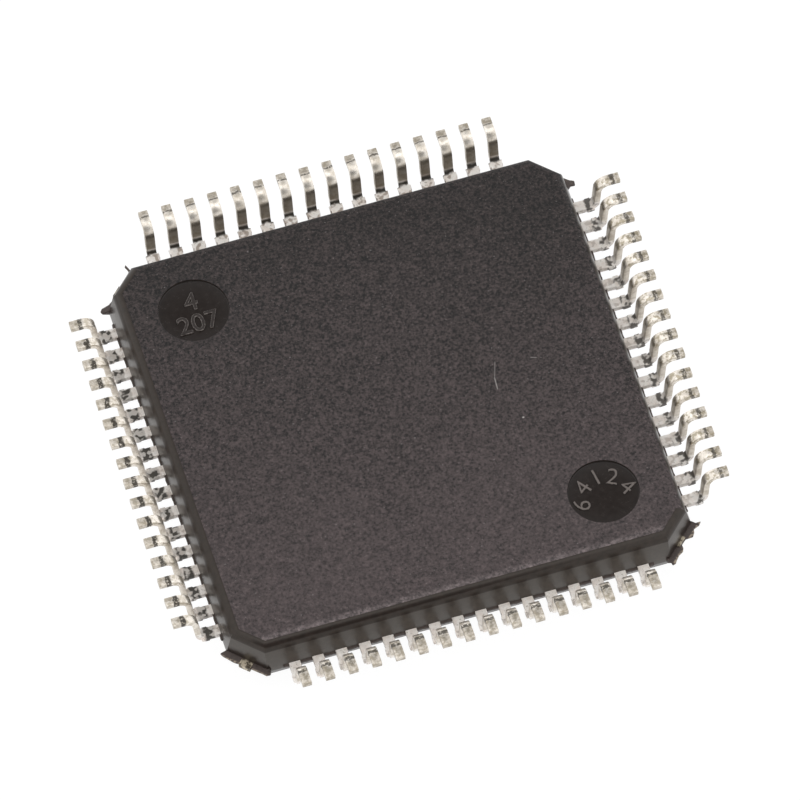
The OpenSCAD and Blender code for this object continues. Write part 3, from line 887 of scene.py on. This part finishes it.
class CHIP_OT_leads(bpy.types.Operator):
    """Forms one lead and copies it round the four sides, each with its own finger"""

    bl_idname = "chip.leads"
    bl_label = "Leads"

    def execute(self, context):
        n = context.scene.chip_leads
        s = context.scene.chip_moulding
        half_w = s.body_w / 2 / MM
        lead = form_lead(n, s.body_h / MM, half_w)
        start_edit(lead)
        bpy.ops.mesh.select_all(action="SELECT")
        bpy.ops.mesh.remove_doubles(threshold=1e-6)
        root_y = half_w - n.root_l / MM
        pick("face", lambda f: abs(middle(f).y + root_y) < 0.001)
        extrude(y=root_y - n.tip_y / MM)
        resize(x=n.tip_w / n.shoulder_w)
        bpy.ops.mesh.select_all(action="SELECT")
        bpy.ops.mesh.normals_make_consistent(inside=False)
        only(lead)
        apply_modifier(lead, "BEVEL", width=0.014 * MM, segments=2, limit_method="ANGLE",
                       angle_limit=math.radians(50))
        smooth(lead, 35)
        material = tin_material()
        group_n = n.per_side // 4
        for side, name in enumerate(SIDES):
            for k in range(n.per_side):
                share = k / (n.per_side - 1) - 0.5
                x = (k - (n.per_side - 1) / 2) * n.pitch / MM
                only(lead)
                bpy.ops.object.duplicate()
                copy = bpy.context.object
                copy.name = copy.data.name = f"lead_{name}_{k + 1}"
                start_edit(copy)
                pick("vert", lambda v: v.co.y / MM > -n.tip_y / MM - 0.1)
                bpy.ops.transform.translate(value=(share * n.tip_spread - x * MM, 0, 0))
                place(copy, x=x)
                place(copy, turn=90 * side)
                finish_piece(copy, material, "tin", f"leads_{name}_{k // group_n + 1}")
        only(lead)
        bpy.ops.object.delete()
        return {"FINISHED"}


class CHIP_OT_inside(bpy.types.Operator):
    """Finishes the die pad, die, film and bond wires inside the moulding"""

    bl_idname = "chip.inside"
    bl_label = "Inside"

    def execute(self, context):
        finishes = {
            "die_pad": die_pad_material(),
            "die_attach": film_material(),
            "silicon_die": plain_metal("silicon", "#6c7078", "#4a4e56", 0.2),
        }
        gold = plain_metal("gold_wire", "#ffd67a", "#d9a441", 0.25)
        for side in SIDES:
            finishes["bond_wires_" + side] = gold
        for node, material in finishes.items():
            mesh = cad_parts[node].data
            mesh.materials.clear()
            mesh.materials.append(material)
        return {"FINISHED"}


# ---- Stage ----


class CHIP_OT_stage(bpy.types.Operator):
    """Lays the white floor, the soft light and the camera"""

    bl_idname = "chip.stage"
    bl_label = "Stage"

    def execute(self, context):
        s = context.scene.chip_stage
        only()
        bpy.ops.mesh.primitive_plane_add(size=s.floor_w, location=(0, 0, -0.02 * MM))
        floor = added("floor")
        floor.data.materials.append(floor_material())
        context.scene.world = white_room()
        camera = bpy.data.cameras.new("camera")
        camera.lens = s.lens
        camera.sensor_width = 36
        camera.clip_start = 0.01
        camera.clip_end = 10
        eye = bpy.data.objects.new("camera", camera)
        context.scene.collection.objects.link(eye)
        azimuth, elevation, roll = s.azimuth, s.elevation, s.roll
        back_way = Vector((math.sin(azimuth) * math.cos(elevation), -math.cos(azimuth) * math.cos(elevation),
                           math.sin(elevation)))
        right = Vector((math.cos(azimuth), math.sin(azimuth), 0))
        up = back_way.cross(right)
        right, up = (math.cos(roll) * right + math.sin(roll) * up, math.cos(roll) * up - math.sin(roll) * right)
        eye.matrix_world = Matrix.Translation(s.camera_at) @ Matrix((right, up, back_way)).transposed().to_4x4()
        context.scene.camera = eye
        context.scene.view_settings.view_transform = "Standard"
        return {"FINISHED"}


# Darker places in the white room: direction, half angle of the dark core and of its soft edge, share of light left
DARK_PLACES = (
    ((0.129, 0.502, 0.855), 9, 20, 0.3),
    ((-0.14, -0.6, 0.788), 15, 36, 0.12),
)


def white_room():
    """A white room whose light is strongest overhead; straight on it is plain white."""
    world = bpy.data.worlds.new("white_room")
    world.use_nodes = True
    tree = world.node_tree
    tree.nodes.clear()
    way = add_node(tree, "TexCoord").outputs["Generated"]
    height = add_node(tree, "SeparateXYZ", (way,)).outputs["Z"]
    light = add_node(tree, "MapRange", (height, 0.75, 0.98, 1.15, 1.55), **SOFT)
    for direction, core, edge, left in DARK_PLACES:
        facing = add_node(tree, "VectorMath", (way, direction), operation="DOT_PRODUCT")
        core, edge = (math.cos(math.radians(a)) for a in (core, edge))
        light = where_all(tree, light, add_node(tree, "MapRange", (facing, edge, core, 1, left), **SOFT))
    white = (1, 1, 1, 1)
    lit = add_node(tree, "Background", {"Color": white, "Strength": light})
    seen = add_node(tree, "Background", {"Color": white, "Strength": 1.0})
    path = add_node(tree, "LightPath").outputs
    mixed = add_node(tree, "MixShader", (path["Is Camera Ray"], lit, seen))
    add_node(tree, "OutputWorld", {"Surface": mixed})
    return world


def floor_material():
    """Matte white card; seen straight on it is as white as the room, with a faint shadow."""
    material, tree, _ = new_material("white_card")
    card = add_node(tree, "BsdfDiffuse", {"Color": (0.95, 0.95, 0.95, 1)})
    lit = add_node(tree, "Emission", {"Color": (1, 1, 1, 1), "Strength": 1.06})
    path = add_node(tree, "LightPath").outputs
    seen = path["Is Camera Ray"]
    for ray in ("Is Glossy Ray", "Is Transmission Ray"):
        seen = add_node(tree, "Math", (seen, path[ray]), operation="MAXIMUM")
    # The tenth that is left to the card carries the shadow
    share = add_node(tree, "Math", (seen, 0.9), operation="MULTIPLY")
    mixed = add_node(tree, "MixShader", (share, card, lit))
    add_node(tree, "OutputMaterial", {"Surface": mixed})
    return material


OPERATORS = (CHIP_OT_moulding, CHIP_OT_flash, CHIP_OT_numbers, CHIP_OT_leads, CHIP_OT_inside, CHIP_OT_stage)


class CHIP_PT_panel(bpy.types.Panel):
    """Sizes and steps of the chip"""

    bl_label = "Quad flat pack chip"
    bl_idname = "CHIP_PT_panel"
    bl_space_type = "VIEW_3D"
    bl_region_type = "UI"
    bl_category = "Chip"

    def draw(self, context):
        scene = context.scene
        for group in (scene.chip_moulding, scene.chip_leads, scene.chip_colours, scene.chip_stage):
            box = self.layout.box()
            for name in group.__annotations__:
                box.prop(group, name)
        for operator in OPERATORS:
            self.layout.operator(operator.bl_idname)


CLASSES = (ChipMoulding, ChipLeads, ChipColours, ChipStage) + OPERATORS + (CHIP_PT_panel,)


def register():
    for cls in CLASSES:
        bpy.utils.register_class(cls)
    bpy.types.Scene.chip_moulding = PointerProperty(type=ChipMoulding)
    bpy.types.Scene.chip_leads = PointerProperty(type=ChipLeads)
    bpy.types.Scene.chip_colours = PointerProperty(type=ChipColours)
    bpy.types.Scene.chip_stage = PointerProperty(type=ChipStage)


def unregister():
    del bpy.types.Scene.chip_moulding
    del bpy.types.Scene.chip_leads
    del bpy.types.Scene.chip_colours
    del bpy.types.Scene.chip_stage
    for cls in reversed(CLASSES):
        bpy.utils.unregister_class(cls)


def main():
    register()
    bpy.ops.chip.moulding()
    bpy.ops.chip.flash()
    bpy.ops.chip.numbers()
    bpy.ops.chip.leads()
    bpy.ops.chip.inside()
    bpy.ops.chip.stage()
    only()


if __name__ == "__main__":
    main()
